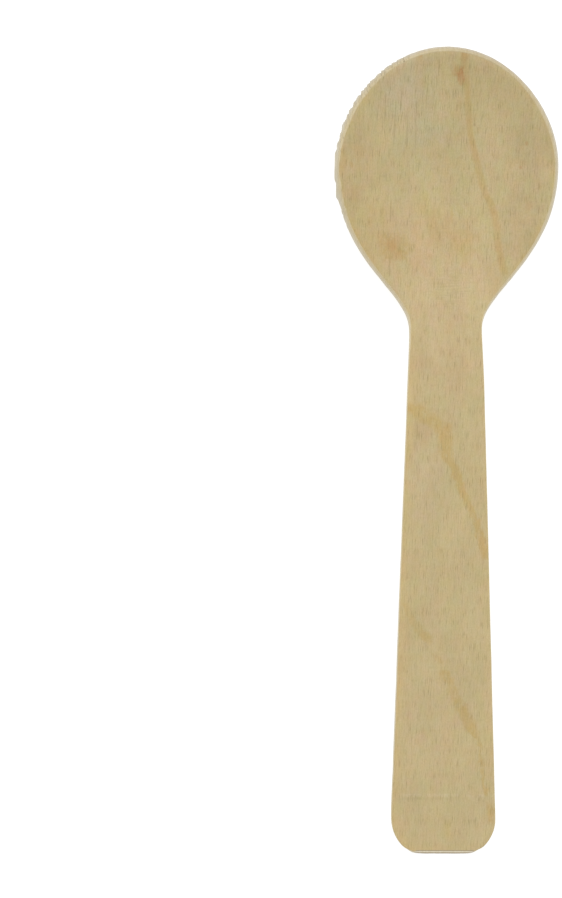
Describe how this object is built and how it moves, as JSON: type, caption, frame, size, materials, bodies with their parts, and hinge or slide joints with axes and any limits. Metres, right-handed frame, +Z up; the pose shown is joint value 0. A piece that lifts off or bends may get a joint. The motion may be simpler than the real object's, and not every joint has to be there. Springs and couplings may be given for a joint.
{
  "type": "disposable wooden spoon",
  "caption": "Small disposable spoon of pressed birch veneer, with a shallow round bowl, a pinched neck and a flat handle that widens to a rounded end.",
  "frame": {"origin": "on the table, under the middle of the spoon's length and width, as it lies on its back", "axes": "+Y from the handle's end to the bowl's tip, +X across the bowl, +Z up, out of the bowl's open side"},
  "size_m": [0.0304, 0.11, 0.0058],
  "materials": {
    "birch": "bare pressed birch veneer, matt"
  },
  "bodies": {
    "root": {"spoon": "birch"}
  },
  "joints": []
}
